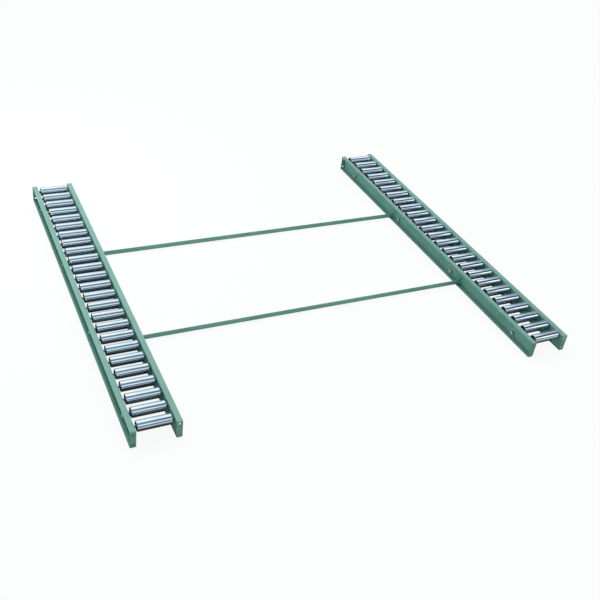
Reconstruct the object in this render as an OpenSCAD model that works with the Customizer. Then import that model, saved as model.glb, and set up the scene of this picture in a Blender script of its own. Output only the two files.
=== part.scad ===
// Gravity roller conveyor: two narrow roller lanes side by side, tied together by two crossbars.
// X runs across the lanes, Y along them and Z up. The origin is on the floor, at the middle of the frame.

/* [Lanes] */
// Length of each lane, over its end plates
lane_length = 2500; // [2300:50:3000]
// Width of each lane, over its flange tips
lane_width = 265; // [240:5:400]
// Distance between the centre lines of the two lanes
lane_spacing = 2416; // [1200:8:3000]

/* [Rails] */
// Height of the channel rails
rail_height = 106; // [100:1:130]
// Width of the rail flanges, which point away from the rollers
rail_flange = 32; // [30:1:45]
// Sheet thickness of the rails
rail_wall = 3; // [2.5:0.5:4]
// Inside radius of the rail bends
bend_radius = 3; // [2:0.5:4]

/* [Rollers] */
// Rollers in each lane, an odd number
roller_count = 25; // [23:2:25]
// Outside diameter of the roller tubes
roller_d = 57; // [54:1:66]
// Wall of the roller tubes
roller_wall = 1.5; // [1.2:0.1:2]
// Depth of the roller axis below the top of the rails
roller_drop = 18; // [16:1:22]
// Space between a roller's end and the rail
roller_end_gap = 12; // [8:1:16]
// Hexagon axle, across its flats
axle_af = 11; // [10:0.5:12]
// Length of axle that stands out past each rail
axle_stub = 18; // [8:1:20]

/* [End plates] */
// Thickness of the plates that close the rail ends
plate_t = 6; // [4:1:10]
// Diameter of the coupling bolt holes
plate_hole_d = 14; // [9:0.5:16]
// Distance between the two holes of a plate
plate_hole_step = 68; // [50:1:76]

/* [Crossbars] */
// Leg of the angle bar
bar_leg = 30; // [24:1:32]
// Thickness of the angle bar
bar_t = 3; // [2.5:0.5:4]
// Height of the bar's underside above the floor
bar_lift = 7; // [7:1:12]
// Height of the plates welded to the bar's ends
lug_h = 55; // [54:1:64]
// Width of the plates welded to the bar's ends
lug_w = 36; // [32:1:50]
// Thickness of the plates welded to the bar's ends
lug_t = 4; // [3:1:6]

/* [Lane spreaders] */
// Outside diameter of the spreader pipes
pipe_d = 27; // [24:1:32]
// Wall of the spreader pipes
pipe_wall = 2.6; // [2:0.2:4]
// Height of the spreaders above the floor
pipe_z = 32; // [28:1:40]

/* [Hidden] */
$fn = 64;
pitch = lane_length / roller_count;
axis_z = rail_height - roller_drop;
inside_w = lane_width - 2 * rail_flange;
tube_len = inside_w - 2 * roller_end_gap;
web_out = lane_width / 2 - rail_flange + rail_wall;
spreader_ys = [for (k = [-10.5, -3.5, 3.5, 10.5]) k * pitch];
crossbar_ys = [for (k = [-4.5, 4.5]) k * pitch];

// Slack that keeps stacked pieces apart, and the room round a shank in its hole
seat = 0.05;
hole_room = 1;
axle_room = 0.4;

// Crossbar bolts: thread, width across flats, head and nut heights, washer diameter and thickness
bar_bolt = [10, 16, 6.4, 8.4, 20, 2];
bar_bolt_z = bar_lift + bar_leg + bar_bolt[4] / 2 + 2;
// Middle of the lugs, in line with the upright leg of the bar
lug_y = (bar_t - bar_leg) / 2;
// Spreader through-bolts, in the same order
tie_bolt = [14, 22, 8.8, 11, 28, 2.5];
// Thread that shows past a nut
bolt_tail = 3;

// Bearing: ball circle, ball and groove radii, and how deep in the tube the balls run
ball_circle = 13;
ball_r = 3.3;
groove_r = 3.6;
ball_depth = 10.5;
balls = 10;
cup_depth = 16;
cup_wall = 2;
cone_r = 11.2;
cone_hub_r = 9.2;
cone_hub_len = 4;
lip_r = roller_d / 2 - 6;
tube_corner = 4;

paint = [0.36, 0.60, 0.53];
zinc = [0.78, 0.82, 0.86];
bright_steel = [0.70, 0.72, 0.74];

function digits(i) = str(i < 9 ? "0" : "", i + 1);
function roller_name(lane, i) = str(["left", "right"][lane], "_roller_", digits(i));
function lane_x(lane) = (lane - 0.5) * lane_spacing;
function roller_y(i) = (i - (roller_count - 1) / 2) * pitch;
function corners(af) = af / cos(30);

// A rectangle from the origin whose two corners at the far end of X are rounded.
module folded_end(w, h, r) {
    square([w - r, h]);
    translate([0, r]) square([w, h - 2 * r]);
    for (y = [r, h - r]) translate([w - r, y]) circle(r);
}

// Cross-section of a rail: flange tips at x = 0, web at the far end.
module rail_section() {
    difference() {
        folded_end(rail_flange, rail_height, bend_radius + rail_wall);
        translate([-1, rail_wall])
            folded_end(rail_flange - rail_wall + 1, rail_height - 2 * rail_wall, bend_radius);
    }
}

// A hexagon bar along X from the origin, flats up and down.
module hex_bar(af, len) {
    rotate([0, 90, 0]) rotate(30) cylinder(d = corners(af), h = len, $fn = 6);
}

// A round bar along X from the origin.
module round_bar(d, len) {
    rotate([0, 90, 0]) cylinder(d = d, h = len);
}

// The rail on the low-X side of a lane, centred on that lane: slots for the axles, holes for the bolts.
module rail(bar_holes) {
    web_cut = -lane_width / 2 + rail_flange - rail_wall - 1;
    difference() {
        translate([-lane_width / 2, 0, 0]) rotate([90, 0, 0])
            linear_extrude(lane_length, center = true) rail_section();
        for (i = [0 : roller_count - 1])
            translate([web_cut, roller_y(i), axis_z]) hex_bar(axle_af + axle_room, rail_wall + 2);
        for (y = spreader_ys)
            translate([web_cut, y, pipe_z]) round_bar(tie_bolt[0] + hole_room, rail_wall + 2);
        if (bar_holes)
            for (y = crossbar_ys)
                translate([web_cut, y + lug_y, bar_bolt_z])
                    round_bar(bar_bolt[0] + hole_room, rail_wall + 2);
    }
}

module left_outer_rail() {
    color(paint) translate([lane_x(0), 0, 0]) rail(false);
}

module left_inner_rail() {
    color(paint) translate([lane_x(0), 0, 0]) mirror([1, 0, 0]) rail(true);
}

module right_inner_rail() {
    color(paint) translate([lane_x(1), 0, 0]) rail(true);
}

module right_outer_rail() {
    color(paint) translate([lane_x(1), 0, 0]) mirror([1, 0, 0]) rail(false);
}

// Coupling plate that closes one end of a rail, between its flanges; its holes join the next section.
module butt_plate() {
    hole_x = (rail_flange - lane_width) / 2;
    difference() {
        translate([-lane_width / 2, plate_t / 2, rail_wall]) rotate([90, 0, 0])
            linear_extrude(plate_t)
                folded_end(rail_flange - rail_wall, rail_height - 2 * rail_wall, bend_radius + 1);
        for (side = [-1, 1])
            translate([hole_x, plate_t, (rail_height + side * plate_hole_step) / 2])
                rotate([90, 0, 0]) cylinder(d = plate_hole_d, h = 2 * plate_t);
    }
}

module butt_plates() {
    plate_y = (lane_length - plate_t) / 2;
    color(paint)
        for (lane = [0, 1], hand = [0, 1], end = [-1, 1])
            translate([lane_x(lane), end * plate_y, 0]) mirror([hand, 0, 0]) butt_plate();
}

// Angle bar with a bolting plate welded across each end; its upright leg faces the near end.
module crossbar() {
    half = lane_spacing / 2 - web_out;
    difference() {
        union() {
            translate([-half, -bar_leg / 2, bar_lift]) cube([2 * half, bar_t, bar_leg]);
            translate([-half, -bar_leg / 2, bar_lift]) cube([2 * half, bar_leg, bar_t]);
            for (side = [-1, 1])
                translate([side * (half - lug_t / 2), lug_y, bar_lift + lug_h / 2])
                    cube([lug_t, lug_w, lug_h], center = true);
        }
        for (side = [-1, 1])
            translate([side * half - lug_t - 1, lug_y, bar_bolt_z])
                round_bar(bar_bolt[0] + hole_room, 2 * lug_t + 2);
    }
}

module crossbars() {
    color(paint) for (y = crossbar_ys) translate([0, y, 0]) crossbar();
}

// Pipe that holds the two rails of a lane apart, clamped by a through-bolt.
module lane_spreader() {
    translate([-inside_w / 2, 0, pipe_z]) difference() {
        round_bar(pipe_d, inside_w);
        translate([-1, 0, 0]) round_bar(pipe_d - 2 * pipe_wall, inside_w + 2);
    }
}

module lane_spreaders() {
    color(paint)
        for (lane = [0, 1], y = spreader_ys) translate([lane_x(lane), y, 0]) lane_spreader();
}

module roller_axles() {
    color(bright_steel)
        for (lane = [0, 1], i = [0 : roller_count - 1])
            translate([lane_x(lane) - web_out - axle_stub, roller_y(i), axis_z])
                hex_bar(axle_af, 2 * (web_out + axle_stub));
}

// Inner bearing ring with a hexagon bore; x = 0 is the tube's end and +X leads into the tube.
module bearing_cone() {
    difference() {
        rotate([0, 90, 0]) rotate_extrude() {
            translate([0, -cone_hub_len]) square([cone_hub_r, cone_hub_len + cup_depth]);
            difference() {
                square([cone_r, cup_depth]);
                translate([ball_circle, ball_depth]) circle(groove_r);
            }
        }
        translate([-cone_hub_len - 1, 0, 0])
            hex_bar(axle_af + 2 * seat, cone_hub_len + cup_depth + 2);
    }
}

// Puts a bearing piece at both ends of a roller.
module both_ends() {
    for (hand = [0, 1]) mirror([hand, 0, 0]) translate([-tube_len / 2, 0, 0]) children();
}

module bearing_cones() {
    color(bright_steel)
        for (lane = [0, 1], i = [0 : roller_count - 1])
            translate([lane_x(lane), roller_y(i), axis_z]) both_ends() bearing_cone();
}

// Half section of the tube's solid outline, both ends rounded, of radius r and length len.
module bullet(r, len, corner) {
    translate([0, -len / 2]) square([r - corner, len]);
    translate([0, corner - len / 2]) square([r, len - 2 * corner]);
    for (side = [-1, 1]) translate([r - corner, side * (len / 2 - corner)]) circle(corner);
}

// Roller tube with its ends rolled inwards over the bearings.
module roller_tube() {
    rotate([0, 90, 0]) rotate_extrude() difference() {
        bullet(roller_d / 2, tube_len, tube_corner);
        bullet(roller_d / 2 - roller_wall, tube_len - 2 * roller_wall, tube_corner - roller_wall);
        translate([0, -tube_len / 2 - 1]) square([lip_r, tube_len + 2]);
    }
}

// Pressed bearing cup that carries the outer ball groove, just inside the tube's rolled end.
module bearing_cup() {
    outer = roller_d / 2 - roller_wall - seat;
    front = tube_corner;
    shield_r = cone_r + 0.8;
    rotate([0, 90, 0]) rotate_extrude() difference() {
        translate([shield_r, front]) square([outer - shield_r, cup_depth - front]);
        translate([shield_r - 1, front + cup_wall])
            square([ball_circle + 2 - shield_r + 1, cup_depth]);
        translate([ball_circle + groove_r + cup_wall, front + cup_wall])
            square([outer - cup_wall - ball_circle - groove_r - cup_wall, cup_depth]);
        translate([ball_circle, ball_depth]) circle(groove_r);
    }
}

module bearing_balls() {
    for (k = [0 : balls - 1])
        rotate([k * 360 / balls, 0, 0]) translate([ball_depth, 0, ball_circle]) sphere(ball_r);
}

module roller(lane, i) {
    translate([lane_x(lane), roller_y(i), axis_z]) {
        color(zinc) roller_tube();
        color(bright_steel) both_ends() bearing_cup();
        color(bright_steel) both_ends() bearing_balls();
    }
}

// Bolt, washers and nut along +X through a stack of the given grip that starts at x = 0.
module bolt_set(size, grip) {
    thread = size[0];
    washer_t = size[5];
    head_x = -washer_t - 2 * seat;
    nut_x = grip + washer_t + 2 * seat;
    translate([head_x - size[2], 0, 0]) hex_bar(size[1], size[2]);
    translate([head_x - seat, 0, 0]) round_bar(thread, nut_x - head_x + size[3] + bolt_tail);
    for (x = [-seat - washer_t, grip + seat])
        translate([x, 0, 0]) ring(size[4], thread + hole_room / 2, washer_t);
    translate([nut_x, 0, 0]) difference() {
        hex_bar(size[1], size[3]);
        translate([-1, 0, 0]) round_bar(thread + 4 * seat, size[3] + 2);
    }
}

// Flat ring along X from the origin.
module ring(outer, inner, len) {
    difference() {
        round_bar(outer, len);
        translate([-1, 0, 0]) round_bar(inner, len + 2);
    }
}

module bolts_and_nuts() {
    half = lane_spacing / 2 - web_out;
    color(zinc) {
        for (lane = [0, 1], y = spreader_ys)
            translate([lane_x(lane) + web_out, y, pipe_z])
                mirror([1, 0, 0]) bolt_set(tie_bolt, 2 * web_out);
        for (hand = [0, 1], y = crossbar_ys)
            mirror([hand, 0, 0]) translate([half - lug_t, y + lug_y, bar_bolt_z])
                bolt_set(bar_bolt, lug_t + rail_wall);
    }
}

left_outer_rail();
left_inner_rail();
right_inner_rail();
right_outer_rail();
butt_plates();
crossbars();
lane_spreaders();
roller_axles();
bearing_cones();
bolts_and_nuts();
for (lane = [0, 1], i = [0 : roller_count - 1])
    roller(lane, i);
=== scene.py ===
import math

import bpy
import numpy as np
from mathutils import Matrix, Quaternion, Vector


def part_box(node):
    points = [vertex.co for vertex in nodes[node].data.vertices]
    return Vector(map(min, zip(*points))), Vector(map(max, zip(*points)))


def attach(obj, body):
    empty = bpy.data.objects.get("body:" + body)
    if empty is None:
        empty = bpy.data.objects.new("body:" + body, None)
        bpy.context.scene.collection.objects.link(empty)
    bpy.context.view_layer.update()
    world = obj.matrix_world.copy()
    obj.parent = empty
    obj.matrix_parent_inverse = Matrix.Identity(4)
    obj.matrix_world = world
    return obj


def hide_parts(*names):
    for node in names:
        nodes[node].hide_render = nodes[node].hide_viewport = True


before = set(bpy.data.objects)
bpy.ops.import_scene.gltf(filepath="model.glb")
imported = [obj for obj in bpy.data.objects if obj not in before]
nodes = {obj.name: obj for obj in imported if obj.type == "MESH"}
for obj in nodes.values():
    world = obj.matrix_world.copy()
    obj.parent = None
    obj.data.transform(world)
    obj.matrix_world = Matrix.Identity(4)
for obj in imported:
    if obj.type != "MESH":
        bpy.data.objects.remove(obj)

scene = bpy.context.scene
scene.view_settings.view_transform = "Standard"
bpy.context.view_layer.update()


# Channel rails
# Four U-channels folded from 3 mm steel sheet, two to a lane, with their flanges turned away from the rollers.
# They are punched for the axles and bolts, welded up and sprayed with green enamel, which is thin on cut edges.
# Their enamel carries a painted shade along the inside corner of web and lower flange, and a painted highlight on the
# cut edges.

MM = 0.001
RAILS = ("left_outer_rail", "left_inner_rail", "right_inner_rail", "right_outer_rail")
SHEET = 3 * MM
LANE_X = (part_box("right_inner_rail")[0].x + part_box("right_outer_rail")[1].x) / 2
LANE_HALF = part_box("right_outer_rail")[1].x - LANE_X
WEB_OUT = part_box("right_outer_rail")[0].x - LANE_X + SHEET
GREEN = "#6EA897"


def linear(code):
    """An sRGB hex colour as linear RGBA: the low end divided by 12.92, the rest a power of 2.4."""
    srgb = np.array([int(code[i:i + 2], 16) for i in (1, 3, 5)]) / 255
    light = np.where(srgb <= 0.04045, srgb / 12.92, ((srgb + 0.055) / 1.055) ** 2.4)
    return (*light.tolist(), 1.0)


def add(tree, kind, inputs, **settings):
    """Adds a node with its settings; each input is a value for that socket or the output that feeds it."""
    node = tree.nodes.new(kind)
    for name, value in settings.items():
        setattr(node, name, value)
    for socket, value in inputs.items():
        if isinstance(value, bpy.types.NodeSocket):
            tree.links.new(value, node.inputs[socket])
        else:
            node.inputs[socket].default_value = value
    return node


def place_on(tree):
    """The place of a point on the object, in metres, in which every pattern is laid out."""
    return add(tree, "ShaderNodeTexCoord", {}).outputs["Object"]


def noise(tree, place, size, detail=2.0):
    """A cloudy pattern from 0 to 1, with clouds of about the given size."""
    return add(tree, "ShaderNodeTexNoise", {"Vector": place, "Scale": 1 / size, "Detail": detail}).outputs["Fac"]


def ranged(tree, value, start=0.0, end=1.0, low=0.0, high=1.0):
    """A value stretched so that start becomes low and end becomes high, and held there beyond them."""
    return add(tree, "ShaderNodeMapRange", {"Value": value, "From Min": start, "From Max": end, "To Min": low,
                                            "To Max": high}).outputs["Result"]


def mixed(tree, share, first, second):
    """The first colour with a share of the second; the Mix node knows its colour sockets by number."""
    return add(tree, "ShaderNodeMix", {"Factor": share, 6: first, 7: second}, data_type="RGBA").outputs[2]


def calc(tree, operation, *values):
    """The result of one step of arithmetic on values or outputs."""
    return add(tree, "ShaderNodeMath", dict(enumerate(values)), operation=operation).outputs[0]


def finish_of(name, surface):
    """A new material named for its finish, with a Principled shader; surface(tree) gives its sockets."""
    material = bpy.data.materials.new(name)
    material.use_nodes = True
    tree = material.node_tree
    tree.nodes.clear()
    shader = add(tree, "ShaderNodeBsdfPrincipled", surface(tree))
    add(tree, "ShaderNodeOutputMaterial", {"Surface": shader.outputs["BSDF"]})
    return material


def enamel(tree):
    """Sprayed enamel on steel: an even green film with orange peel, faint clouds of tone and settled dust."""
    place = place_on(tree)
    clouds = ranged(tree, noise(tree, place, size=180 * MM, detail=3.0), start=0.35, end=0.65)
    film = mixed(tree, clouds, linear(GREEN), linear("#7AB1A3"))
    dust = ranged(tree, noise(tree, place, size=6 * MM), start=0.55, end=0.75, high=0.25)
    colour = mixed(tree, dust, film, linear("#93C0B5"))
    gloss = ranged(tree, noise(tree, place, size=45 * MM), start=0.3, end=0.7, low=0.34, high=0.46)
    peel = noise(tree, place, size=2.5 * MM, detail=1.0)
    bump = add(tree, "ShaderNodeBump", {"Height": peel, "Strength": 0.08, "Distance": 0.5 * MM})
    return {"Base Color": colour, "Roughness": gloss, "IOR": 1.5, "Normal": bump.outputs["Normal"]}


def edge_worn_enamel_with_painted_shade(tree):
    """The same enamel, rubbed thin and greyish in patches on the cut edges of the flanges, partly a painted highlight
    there, and a painted shade that fades over 14 mm from the line where web and lower flange meet."""
    sockets = enamel(tree)
    place = place_on(tree)
    axes = add(tree, "ShaderNodeSeparateXYZ", {"Vector": place}).outputs
    reach = calc(tree, "ABSOLUTE", calc(tree, "SUBTRACT", calc(tree, "ABSOLUTE", axes["X"]), LANE_X))
    # Lighter grey in patches on the flanges' cut edges: worn paint, and partly a painted highlight on those edges.
    edge = ranged(tree, reach, start=LANE_HALF - 2.5 * MM, end=LANE_HALF - 0.3 * MM)
    patch = ranged(tree, noise(tree, place, size=25 * MM, detail=3.0), start=0.4, end=0.6, low=0.1, high=0.7)
    worn = mixed(tree, calc(tree, "MULTIPLY", edge, patch), sockets["Base Color"], linear("#9FB3AC"))
    # Painted shade: darker towards the line where web and lower flange meet, where shade falls in the channel.
    out, up = calc(tree, "SUBTRACT", reach, WEB_OUT), calc(tree, "SUBTRACT", axes["Z"], SHEET)
    corner = add(tree, "ShaderNodeCombineXYZ", {"X": out, "Y": up}).outputs["Vector"]
    gap = add(tree, "ShaderNodeVectorMath", {0: corner}, operation="LENGTH").outputs["Value"]
    painted_shade = ranged(tree, gap, start=4 * MM, end=14 * MM, low=0.34, high=0.0)
    return {**sockets, "Base Color": mixed(tree, painted_shade, worn, linear("#35574A"))}


rail_paint = finish_of("worn_green_enamel_with_painted_shade", edge_worn_enamel_with_painted_shade)
for name in RAILS:
    nodes[name].material_slots[0].material = rail_paint


# Butt plates
# Steel plates that close the rail ends between the flanges, each with two holes that join the next section.
# A weld bead runs round three sides of each, ground a little and painted over with the rails.
# Their enamel is darkened in patches, a painted shade on these end faces.

BEAD_WIDE, BEAD_HIGH = 2.7 * MM, 2 * MM
RIPPLE_LONG, RIPPLE_HIGH = 3 * MM, 0.07
END_LONG, END_LEAST = 3 * MM, 0.02
BEAD_ARC = 8
CORNER_BEND = 4 * MM
SHARP_FROM = math.radians(35)


def enamel_darkened_as_painted_shade(tree):
    """The same enamel, darkened in patches as a painted shade on the plates that close the rail ends."""
    sockets = enamel(tree)
    # Painted shade: the plates' enamel is darkened in patches towards #5C7366.
    shade_patches = noise(tree, place_on(tree), size=11 * MM, detail=3.0)
    painted_shade = ranged(tree, shade_patches, start=0.35, end=0.65, low=0.16, high=0.56)
    return {**sockets, "Base Color": mixed(tree, painted_shade, sockets["Base Color"], linear("#5C7366"))}


def sheet(points, round_rows=False, round_columns=False):
    """Points and faces of a grid of points, facing outwards; a round direction joins its last line to its first.
    A tube, which is round in its columns alone, gets a face across each end."""
    rows, columns = points.shape[:2]
    i, j = np.meshgrid(np.arange(rows - (not round_rows)), np.arange(columns - (not round_columns)), indexing="ij")
    right, below = (j + 1) % columns, (i + 1) % rows
    quads = np.stack([i * columns + j, i * columns + right, below * columns + right, below * columns + j], axis=-1)
    points, quads = points.reshape(-1, 3), quads.reshape(-1, 4)
    corners = points[quads]
    facing = np.cross(corners[:, 2] - corners[:, 0], corners[:, 3] - corners[:, 1])
    inwards = ((corners.mean(axis=1) - points.mean(axis=0)) * facing).sum() < 0
    faces = quads.tolist()
    if round_columns and not round_rows:
        faces += [list(range(columns))[::-1], list(range(len(points) - columns, len(points)))]
    return points, [face[::-1] for face in faces] if inwards else faces


def piece(name, sheets, materials, body):
    """One object from several sheets, on a body of the part; with each sheet comes the number of its material,
    or one number for each of its faces. Edges sharper than SHARP_FROM stay sharp, the rest are smooth."""
    points, faces, numbers = [], [], []
    total = 0
    for (sheet_points, sheet_faces), number in sheets:
        points.append(sheet_points)
        faces.extend([total + corner for corner in face] for face in sheet_faces)
        numbers.append(np.broadcast_to(number, len(sheet_faces)))
        total += len(sheet_points)
    mesh = bpy.data.meshes.new(name)
    mesh.from_pydata(np.concatenate(points).tolist(), [], faces)
    for material in materials:
        mesh.materials.append(material)
    mesh.polygons.foreach_set("material_index", np.concatenate(numbers).astype(np.int32))
    mesh.polygons.foreach_set("use_smooth", np.ones(len(faces), bool))
    mesh.set_sharp_from_angle(angle=SHARP_FROM)
    made = bpy.data.objects.new(name, mesh)
    scene.collection.objects.link(made)
    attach(made, body)
    return made


def bead(path, first, second, width, height, sweep):
    """A weld bead: an arc from first towards second, closed over the path and carried along it. Ripples make it
    thicker and thinner along its run, and it grows from each end as the root of the way from there."""
    run = np.concatenate([[0], np.cumsum(np.linalg.norm(np.diff(path, axis=0), axis=1))])
    to_end = np.minimum(run, run[-1] - run)
    ripple = 1 + RIPPLE_HIGH * np.cos(2 * np.pi * run / RIPPLE_LONG)
    size = ripple * np.sqrt(np.clip(to_end / END_LONG, END_LEAST, 1))
    turn = np.linspace(0, sweep, BEAD_ARC)[None, :, None]
    arch = width * first[:, None] * np.cos(turn) + height * second[:, None] * np.sin(turn)
    section = np.concatenate([arch, np.zeros_like(arch[:, :1])], axis=1)
    return sheet(path[:, None] + size[:, None, None] * section, False, True)


def plate_edge(width, height, corner, steps=220):
    """Points and outward directions, in x and z, of a U on its side: along the top, round two corners, back below."""
    flat, wall, bend = width - corner, height - 2 * corner, corner * math.pi / 2
    run = np.linspace(0, 2 * flat + 2 * bend + wall, steps)
    turn = np.clip((run - flat) / bend, 0, 1) + np.clip((run - flat - bend - wall) / bend, 0, 1)
    out = np.stack([np.sin(turn * math.pi / 2), np.cos(turn * math.pi / 2)], axis=1)
    ahead = np.stack([out[:, 1], -out[:, 0]], axis=1)
    steps_along = (ahead[1:] + ahead[:-1]) / 2 * np.diff(run)[:, None]
    return np.concatenate([[[0, 0]], np.cumsum(steps_along, axis=0)]), out


nodes["butt_plates"].material_slots[0].material = finish_of("green_enamel_with_painted_shade", enamel_darkened_as_painted_shade)
green_enamel = finish_of("green_enamel", enamel)
plate_welds = []
for name in RAILS:
    low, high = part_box(name)
    inward = 1 if name in ("left_outer_rail", "right_inner_rail") else -1
    tip = low.x if inward > 0 else high.x
    edge, out = plate_edge(high.x - low.x - SHEET, high.z - low.z - 2 * SHEET, CORNER_BEND)
    for y, along in ((low.y, -1), (high.y, 1)):
        path = np.stack([tip + inward * edge[:, 0], np.full(len(edge), y), high.z - SHEET + edge[:, 1]], axis=1)
        outward = np.stack([inward * out[:, 0], 0 * out[:, 0], out[:, 1]], axis=1)
        front = np.broadcast_to([0.0, along, 0.0], outward.shape)
        plate_welds.append((bead(path, outward, front, BEAD_WIDE, BEAD_HIGH, math.pi), 0))
piece("butt_plate_welds", plate_welds, [green_enamel], "frame")


# Crossbars
# Two long steel angles that tie the lanes together, with their upright leg towards the near end.
# A plate is welded across each end of the angle and bolted through the web of a rail; all of it is painted.

BAR_LEG, BAR_SHEET, LUG_SHEET, LUG_WIDTH = 30 * MM, 3 * MM, 4 * MM, 36 * MM
LUG_Y = (BAR_SHEET - BAR_LEG) / 2
RUN_STEPS, RUN_GAP = 40, 0.01

nodes["crossbars"].material_slots[0].material = green_enamel
low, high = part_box("crossbars")
bar_y = high.y - BAR_LEG / 2
share = np.linspace(RUN_GAP, 1 - RUN_GAP, RUN_STEPS)[:, None]
bar_welds = []
for y in (-bar_y, bar_y):
    back, front, foot = y + LUG_Y + LUG_WIDTH / 2, y - BAR_LEG / 2, low.z
    turns = ((front, foot), (front, foot + BAR_LEG), (front + BAR_SHEET, foot + BAR_LEG),
             (front + BAR_SHEET, foot + BAR_SHEET), (back, foot + BAR_SHEET))
    faces = ((-1, 0), (0, 1), (1, 0), (0, 1))
    for side in (-1, 1):
        lug_x = side * (high.x - LUG_SHEET)
        for start, end, (face_y, face_z) in zip(turns, turns[1:], faces):
            run = np.array(start) * (1 - share) + np.array(end) * share
            path = np.concatenate([np.full((RUN_STEPS, 1), lug_x), run], axis=1)
            along_bar = np.broadcast_to([-side, 0.0, 0.0], path.shape)
            off_face = np.broadcast_to([0.0, face_y, face_z], path.shape)
            bar_welds.append((bead(path, along_bar, off_face, BEAD_WIDE, BEAD_WIDE, math.pi / 2), 0))
piece("crossbar_welds", bar_welds, [green_enamel], "frame")


# Lane spreaders
# Pieces of steel pipe between the two rails of a lane, clamped by the bolts that run through them.
# They are cut square, and painted with the frame.

nodes["lane_spreaders"].material_slots[0].material = green_enamel


# Bolts and nuts
# Hexagon bolts with washers and nuts: one through each spreader, zinc plated, worn to dark steel on its flats.
# That dark steel on the flats is partly painted shade on the sides of the heads and nuts.
# One more in each crossbar plate was painted over with the frame. Threads end a little past the nuts.
# Their own sizes are in mm, as the makers of bolts give them.

TIE = {"thread": 14, "flats": 22, "head": 8.8, "nut": 11, "washer": 28, "washer_thick": 2.5}
BAR = {"thread": 10, "flats": 16, "head": 6.4, "nut": 8.4, "washer": 20, "washer_thick": 2}
TIE_Y, TIE_Z = np.array([-1050, -350, 350, 1050]) * MM, 32 * MM
BAR_BOLT_Z = 49 * MM
SEAT, TAIL, POINT, CHAMFER = 0.05, 3.0, 1.2, 0.4
THREAD_STEP, THREAD_DEEP, THREAD_STEPS = 0.4, 0.6, 7
NUT_GAP, WASHER_GAP = 0.1, 0.25
SHANK_BORE, HEAD_BORE = 0.3, 0.2
ROUND_FACE, CONE = 0.95, math.pi / 6
AROUND = 48


def plated(tree):
    """Zinc plating gone dull and pale, with small crystals that change its gloss, under an overspray of green enamel
    worn off in patches."""
    place = place_on(tree)
    crystals = add(tree, "ShaderNodeTexVoronoi", {"Vector": place, "Scale": 1 / (2.5 * MM)})
    gloss = ranged(tree, crystals.outputs["Distance"], low=0.28, high=0.45)
    bare = ranged(tree, noise(tree, place, size=8 * MM), start=0.38, end=0.52)
    colour = mixed(tree, bare, linear(GREEN), linear("#F2F8F8"))
    return {"Base Color": colour, "Metallic": calc(tree, "MULTIPLY", bare, 0.3), "Roughness": gloss}


def stretched(tree, place, along, across):
    """The place on the object, in units of one length along X and of another across it."""
    scale = (1 / along, 1 / across, 1 / across)
    return add(tree, "ShaderNodeMapping", {"Vector": place, "Scale": scale}).outputs["Vector"]


def drawn_steel(tree):
    """Cold drawn bar: grey steel with fine lines along X, darkened by a film of old oil."""
    place = place_on(tree)
    lines = noise(tree, stretched(tree, place, along=25 * MM, across=1.1 * MM), size=1.0)
    oil = noise(tree, place, size=15 * MM)
    return {"Base Color": mixed(tree, oil, linear("#5E6468"), linear("#7C8387")), "Metallic": 1.0,
            "Roughness": ranged(tree, lines, low=0.25, high=0.45)}


def rings(rows):
    """A grid of points from rows of (x, radius) round the X axis, where either may change with the angle."""
    angle = np.linspace(0, 2 * np.pi, AROUND, endpoint=False)
    x, r = (np.stack([np.broadcast_to(row[k], angle.shape) for row in rows]) for k in (0, 1))
    return np.stack([x, r * np.sin(angle), r * np.cos(angle)], axis=-1)


def hexagon(flats, hole, start, end, both):
    """Rows of a hexagon with flats up and down: half the flats over the cosine of the turn from the nearest flat.
    A 30 degree cone cuts its corners at the end, or at both ends, and leaves a round face."""
    sixth = np.pi / 3
    angle = np.linspace(0, 2 * np.pi, AROUND, endpoint=False)
    radius = flats / 2 / np.cos((angle + sixth / 2) % sixth - sixth / 2)
    face = ROUND_FACE * flats / 2
    cut = np.sign(end - start) * (radius - face) * math.tan(CONE)
    foot = [(start, face), (start + cut, radius)] if both else [(start, radius)]
    return [(start, hole), *foot, (end - cut, radius), (end, face), (end, hole)]


def bolt_set(size, grip):
    """Grids of a bolt along X through a stack that starts at 0, with its two washers and its nut, in mm.
    With each come the rows of its faces that are the sides of a hexagon. A bore too fine to see closes each grid."""
    thick, thread = size["washer_thick"], size["thread"] / 2
    under_head, under_nut = -thick - 2 * SEAT, grip + thick + 2 * SEAT
    end = under_nut + size["nut"] + TAIL
    turns = [(end - TAIL + THREAD_STEP * k, thread - THREAD_DEEP * (k % 2)) for k in range(THREAD_STEPS)]
    root = under_head - size["head"] / 2
    shank = [(root, SHANK_BORE), (root, thread), *turns, (end, thread - POINT), (end, SHANK_BORE)]
    head = hexagon(size["flats"], HEAD_BORE, under_head, under_head - size["head"], False)
    nut = hexagon(size["flats"], thread + NUT_GAP, under_nut, under_nut + size["nut"], True)
    rows = [(shank, ()), (head, (1,)), (nut, (1, 2))]
    inner, outer = thread + WASHER_GAP, size["washer"] / 2
    for x in (-SEAT - thick, grip + SEAT):
        rows.append(([(x, inner), (x, outer - CHAMFER), (x + CHAMFER, outer), (x + thick - CHAMFER, outer),
                      (x + thick, outer - CHAMFER), (x + thick, inner)], ()))
    return [(rings(row), sides) for row, sides in rows]


bolts = []
bar_end = high.x - LUG_SHEET
places = [(TIE, 2 * WEB_OUT / MM, -1, (side * LANE_X + WEB_OUT, y, TIE_Z), (0, 1)) for side in (-1, 1) for y in TIE_Y]
places += [(BAR, (LUG_SHEET + SHEET) / MM, side, (side * bar_end, y + LUG_Y, BAR_BOLT_Z), (2, 2))
           for side in (-1, 1) for y in (-bar_y, bar_y)]
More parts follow.
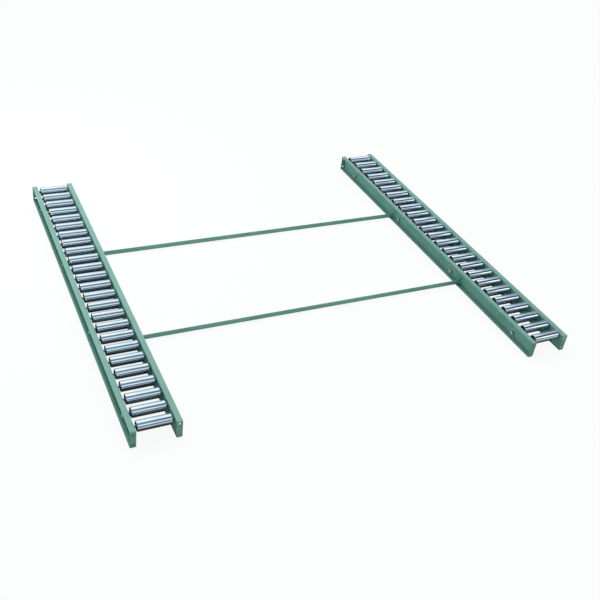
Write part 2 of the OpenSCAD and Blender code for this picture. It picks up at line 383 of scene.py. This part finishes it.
# The tie bolts' hexagon flats take the dark drawn steel, partly painted shade on the sides of heads and nuts.
for size, grip, hand, place, (face, flank) in places:
    for grid, sides in bolt_set(size, grip):
        numbers = np.repeat([flank if row in sides else face for row in range(len(grid))], AROUND)
        bolts.append((sheet(grid * MM * [hand, 1, 1] + np.array(place), True, True), numbers))
oiled_steel = finish_of("drawn_steel", drawn_steel)
bolts_made = piece("forged_bolts_and_nuts", bolts,
                   [finish_of("zinc_plated_fasteners", plated), oiled_steel, green_enamel], "frame")
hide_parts("bolts_and_nuts")


# Axles
# Hexagon bars of drawn steel, pushed through punched slots in both rails of a lane, where they can't turn.
# Their chamfered ends stand out past the webs, under the flanges, where most took a coat of the frame's enamel.

PER_LANE = 25


def oversprayed(tree):
    """The frame's enamel on bright steel, worn through in places."""
    sockets = enamel(tree)
    bare = ranged(tree, noise(tree, place_on(tree), size=40 * MM, detail=3.0), start=0.5, end=0.6)
    return {**sockets, "Base Color": mixed(tree, bare, sockets["Base Color"], linear("#E4F0F0")), "Metallic": bare}


low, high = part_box("roller_axles")
half, flats = (high.x - LANE_X) / MM, (high.z - low.z) / MM
outline = hexagon(flats, SHANK_BORE, -half, half, True)
flank = outline[2][1]
between_webs = 3
rows = outline[:3] + [(side * WEB_OUT / MM, flank) for side in (-1, 1)] + outline[3:]
numbers = np.repeat([0 if row == between_webs else 1 for row in range(len(rows))], AROUND)
corner = flats * MM / math.sqrt(3)
axles = []
for x in (-LANE_X, LANE_X):
    for y in np.linspace(low.y + corner, high.y - corner, PER_LANE):
        middle = np.array([x, y, (low.z + high.z) / 2])
        axles.append((sheet(rings(rows) * MM + middle, True, True), numbers))
axles_made = piece("drawn_hexagon_axles", axles, [oiled_steel, finish_of("oversprayed_steel", oversprayed)], "frame")
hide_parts("roller_axles")


# Bearing cones
# Inner rings of the roller bearings, turned from steel, hardened and ground, with a hexagon bore.
# They slide onto the axles, and their hubs keep the rollers off the rails.

def ground_steel(tree):
    """Hardened steel, ground and oiled: dark grey, with fine grinding marks and lighter places."""
    place = place_on(tree)
    marks, heat = noise(tree, place, size=1.5 * MM, detail=3.0), noise(tree, place, size=12 * MM)
    return {"Base Color": mixed(tree, heat, linear("#62676B"), linear("#74777A")), "Metallic": 1.0,
            "Roughness": ranged(tree, marks, low=0.25, high=0.45)}


nodes["bearing_cones"].material_slots[0].material = finish_of("ground_steel", ground_steel)


# Rollers
# Drawn steel tubes, bright zinc plated, whose ends are rolled inwards over a pressed bearing cup.
# The cups are phosphated black; each carries ten steel balls that run on the cone of the axle.

ROUND = 96
LIP, CORNER, WALL = 6 * MM, 4 * MM, 1.5 * MM
CUP_DEEP, CUP_SHEET, CUP_GAP, SHIELD = 12 * MM, 2 * MM, 0.05 * MM, 12 * MM
BALLS, BALL_CIRCLE, BALL, BALL_DEEP = 10, 13 * MM, 3.3 * MM, 10.5 * MM


def zinc_tube(tree):
    """Bright zinc plating on drawn tube: a blurred blue-grey mirror with fine rings, streaks and scuffs of use."""
    place = place_on(tree)
    fine = noise(tree, stretched(tree, place, along=1.6 * MM, across=80 * MM), size=1.0, detail=3.0)
    gloss = ranged(tree, fine, start=0.3, end=0.7, low=0.06, high=0.11)
    tone = ranged(tree, noise(tree, place, size=60 * MM, detail=3.0), start=0.35, end=0.65)
    scuffs = ranged(tree, noise(tree, place, size=14 * MM, detail=4.0), start=0.58, end=0.75, high=0.12)
    bump = add(tree, "ShaderNodeBump", {"Height": fine, "Strength": 0.04, "Distance": 0.2 * MM})
    return {"Base Color": mixed(tree, tone, linear("#AFC1CD"), linear("#B7C7D1")), "Metallic": 1.0,
            "Roughness": calc(tree, "ADD", gloss, scuffs), "Normal": bump.outputs["Normal"]}


def phosphate(tree):
    """Phosphated steel, oiled: nearly black and dull, with a fine crystal grain."""
    grain = noise(tree, place_on(tree), size=2 * MM)
    return {"Base Color": linear("#15181A"), "Roughness": ranged(tree, grain, low=0.4, high=0.6)}


def arc(x, r, radius, start, end, steps=8):
    """Points of an arc round (x, r), from one angle to another, in degrees."""
    angle = np.radians(np.linspace(start, end, steps))
    return list(zip(x + radius * np.cos(angle), r + radius * np.sin(angle)))


def tube_outline(half, radius):
    """One end's outline mirrored to both: lip, rolled corner, straight wall, and back along the inside."""
    outer = [(-half, radius - LIP)] + arc(CORNER - half, radius - CORNER, CORNER, 180, 90)
    inner = arc(CORNER - half, radius - CORNER, CORNER - WALL, 90, 180) + [(WALL - half, radius - LIP)]
    return outer + [(-x, r) for x, r in outer[::-1] + inner[::-1]] + inner


def cup_outline(half, radius):
    """A dished ring: a flat front with a hole for the cone, and a wall that presses into the tube."""
    front, outer = CORNER - half, radius - WALL - CUP_GAP
    return [(front, SHIELD), (front, outer), (front + CUP_DEEP, outer), (front + CUP_DEEP, outer - CUP_SHEET),
            (front + CUP_SHEET, outer - CUP_SHEET), (front + CUP_SHEET, SHIELD)]


def turned(outline, centre):
    """A closed outline of (x, radius) turned about the line along X through centre."""
    x, r = np.array(outline).T[:, :, None]
    angle = np.linspace(0, 2 * np.pi, ROUND, endpoint=False)
    grid = np.stack([np.broadcast_to(x, (len(x), ROUND)), r * np.sin(angle), r * np.cos(angle)], axis=-1)
    return sheet(grid + np.array(centre), True, True)


def balls_of(half, centre):
    """Ten balls round each end; each is a cube of 2 by 2 squares a side, blown up to the ball's radius."""
    u, v = np.meshgrid([-1, 0, 1], [-1, 0, 1], indexing="ij")
    flat = np.stack([u, v, np.ones_like(u)], axis=-1)
    cube = [np.roll(flat * [1, 1, side], turn, axis=-1) for side in (-1, 1) for turn in range(3)]
    made = []
    for end in (-1, 1):
        for angle in np.arange(BALLS) * 2 * np.pi / BALLS:
            middle = np.array([end * (half - BALL_DEEP), BALL_CIRCLE * np.sin(angle), BALL_CIRCLE * np.cos(angle)])
            for side in cube:
                unit = side / np.linalg.norm(side, axis=-1, keepdims=True)
                made.append(sheet(unit * BALL + middle + np.array(centre)))
    return made


zinc_plated_tube = finish_of("zinc_plated_tube", zinc_tube)
phosphated_steel = finish_of("phosphated_steel", phosphate)
for name in [n for n in nodes if "_roller_" in n]:
    low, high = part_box(name)
    centre, half, radius = (low + high) / 2, (high.x - low.x) / 2, (high.z - low.z) / 2
    cup = cup_outline(half, radius)
    sheets = [(turned(tube_outline(half, radius), centre), 0), (turned(cup, centre), 1),
              (turned([(-x, r) for x, r in cup], centre), 1)]
    sheets += [(ball, 2) for ball in balls_of(half, centre)]
    roller = piece(name + "_turned", sheets, [zinc_plated_tube, phosphated_steel, oiled_steel], name)
    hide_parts(name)


# Floor
# A plain pale studio floor, wide enough to fill the picture. Looked at, or mirrored from a distance, it is the
# white of the background with a light shadow; mirrored from close by, under the rollers, it is grey, a painted shade
# that darkens the rollers' undersides.

FLOOR_HALF = 60.0
CLOSE_BY, FAR_OFF = 0.12, 0.45
SHADED_SHARE = 0.1

floor_mesh = bpy.data.meshes.new("floor")
floor_mesh.from_pydata([(-FLOOR_HALF, -FLOOR_HALF, 0), (FLOOR_HALF, -FLOOR_HALF, 0),
                        (FLOOR_HALF, FLOOR_HALF, 0), (-FLOOR_HALF, FLOOR_HALF, 0)], [], [(0, 1, 2, 3)])
floor = bpy.data.objects.new("floor", floor_mesh)
scene.collection.objects.link(floor)
pale_floor = bpy.data.materials.new("pale_floor")
pale_floor.use_nodes = True
tree = pale_floor.node_tree
tree.nodes.clear()
rays = add(tree, "ShaderNodeLightPath", {}).outputs
mirrored = calc(tree, "MAXIMUM", rays["Is Glossy Ray"], rays["Is Transmission Ray"])
seen_in_metal = calc(tree, "MULTIPLY", mirrored, ranged(tree, rays["Ray Length"], start=CLOSE_BY, end=FAR_OFF))
seen = calc(tree, "MAXIMUM", rays["Is Camera Ray"], seen_in_metal)
# Painted shade: close glossy rays see #5C5C5C, which darkens the rollers' undersides in their reflections.
tone = mixed(tree, mirrored, linear("#F0F0F0"), linear("#5C5C5C"))
grey = add(tree, "ShaderNodeBsdfDiffuse", {"Color": tone}).outputs["BSDF"]
white = add(tree, "ShaderNodeBsdfDiffuse", {"Color": linear("#FFFFFF")}).outputs["BSDF"]
glow = add(tree, "ShaderNodeEmission", {"Strength": 1.0}).outputs["Emission"]
backdrop = add(tree, "ShaderNodeMixShader", {"Fac": SHADED_SHARE, 1: glow, 2: white}).outputs[0]
either = add(tree, "ShaderNodeMixShader", {"Fac": seen, 1: grey, 2: backdrop})
add(tree, "ShaderNodeOutputMaterial", {"Surface": either.outputs[0]})
floor_mesh.materials.append(pale_floor)


# Studio light
# A dim room with two wide soft windows that run across it, one overhead and behind and one in front of the frame,
# a pale wall low down all round, and a long lamp with a diffuser that hangs along the left lane and faces down.
# A stop is an angle from overhead towards the front, or an X direction, with levels of back and front window and room.

TURN_STOPS = ((-110, 0.0, 0.0, 0.58), (-85, 0.0, 0.0, 0.6), (-62, 0.34, 0.0, 0.5), (-44, 0.9, 0.0, 0.3),
              (-28, 1.0, 0.0, 0.22), (-13, 0.93, 0.0, 0.22), (1, 0.25, 0.0, 0.23), (11, 0.0, 0.0, 0.24),
              (28, 0.0, 0.0, 0.24), (41, 0.0, 0.85, 0.17), (54, 0.0, 1.0, 0.12), (64, 0.0, 0.45, 0.06),
              (73, 0.0, 0.0, 0.04))
SIDE_STOPS = ((-1.0, 0.44, 0.55, 0.86), (-0.4, 0.27, 0.3, 0.46), (0.0, 1.05, 0.9, 1.0), (0.15, 1.05, 0.95, 1.0),
              (0.21, 0.96, 0.95, 0.88), (0.5, 1.3, 0.8, 0.14), (0.56, 1.12, 1.1, 0.1), (0.62, 0.6, 1.75, 0.06),
              (1.0, 0.3, 0.6, 0.2))
WINDOW = 1.45
ROOM_WALL, WALL_SOLID, WALL_TOP = 0.38, 0.19, 0.23
COOL, NEUTRAL = (0.76, 0.93, 1.06, 1), (1.0, 1.0, 1.0, 1)
LAMP_WIDE, LAMP_LONG, LAMP_WATTS = 0.3, 1.3, 32
LAMP_PLACE = (-1.6, 1.4, 2.9)


def level_ramp(tree, value, stops, start, end):
    """A colour ramp over a value from start to end, whose red, green and blue are three levels at each stop.
    A new ramp has two stops already."""
    ramp = add(tree, "ShaderNodeValToRGB", {"Fac": ranged(tree, value, start=start, end=end)})
    elements = ramp.color_ramp.elements
    for k, (at, *levels) in enumerate(stops):
        place = (at - start) / (end - start)
        stop = elements[k] if k < 2 else elements.new(place)
        stop.position = place
        stop.color = (*levels, 1)
    return ramp.outputs["Color"]


world = bpy.data.worlds.new("studio")
scene.world = world
world.use_nodes = True
tree = world.node_tree
tree.nodes.clear()
direction = add(tree, "ShaderNodeTexCoord", {}).outputs["Generated"]
axes = add(tree, "ShaderNodeSeparateXYZ", {"Vector": direction}).outputs
angle = calc(tree, "ARCTAN2", calc(tree, "MULTIPLY", axes["Y"], -1.0), axes["Z"])
turn_levels = level_ramp(tree, calc(tree, "DEGREES", angle), TURN_STOPS, -180, 180)
side_levels = level_ramp(tree, axes["X"], SIDE_STOPS, -1, 1)
level = add(tree, "ShaderNodeVectorMath", {0: turn_levels, 1: side_levels}, operation="DOT_PRODUCT").outputs["Value"]
lit = calc(tree, "MAXIMUM", level, ranged(tree, axes["Z"], start=WALL_TOP, end=WALL_SOLID, high=ROOM_WALL))
light = add(tree, "ShaderNodeBackground", {"Color": mixed(tree, lit, COOL, NEUTRAL),
                                           "Strength": calc(tree, "MULTIPLY", lit, WINDOW)})
add(tree, "ShaderNodeOutputWorld", {"Surface": light.outputs["Background"]})

lamp_data = bpy.data.lights.new("soft_lamp", "AREA")
lamp_data.shape = "RECTANGLE"
lamp_data.size, lamp_data.size_y = LAMP_WIDE, LAMP_LONG
lamp_data.energy = LAMP_WATTS
lamp = bpy.data.objects.new("soft_lamp", lamp_data)
scene.collection.objects.link(lamp)
lamp.location = LAMP_PLACE


# Camera
# Stands to the left of the near end, above head height, tipped a little to its left, as the photograph was taken.
# Its place, aim, tilt and lens were fitted to the corners of the frame in the photograph.

CAMERA_PLACE = Vector((-2.104, -4.073, 2.984))
CAMERA_AIM = Vector((-0.017, -0.343, 0.0))
CAMERA_TILT = math.radians(8.05)
CAMERA_LENS = 50.23

camera_data = bpy.data.cameras.new("camera")
camera_data.lens = CAMERA_LENS
camera = bpy.data.objects.new("camera", camera_data)
scene.collection.objects.link(camera)
camera.location = CAMERA_PLACE
level_view = (CAMERA_AIM - CAMERA_PLACE).to_track_quat("-Z", "Y")
camera.rotation_mode = "QUATERNION"
camera.rotation_quaternion = level_view @ Quaternion((0, 0, 1), CAMERA_TILT)
scene.camera = camera
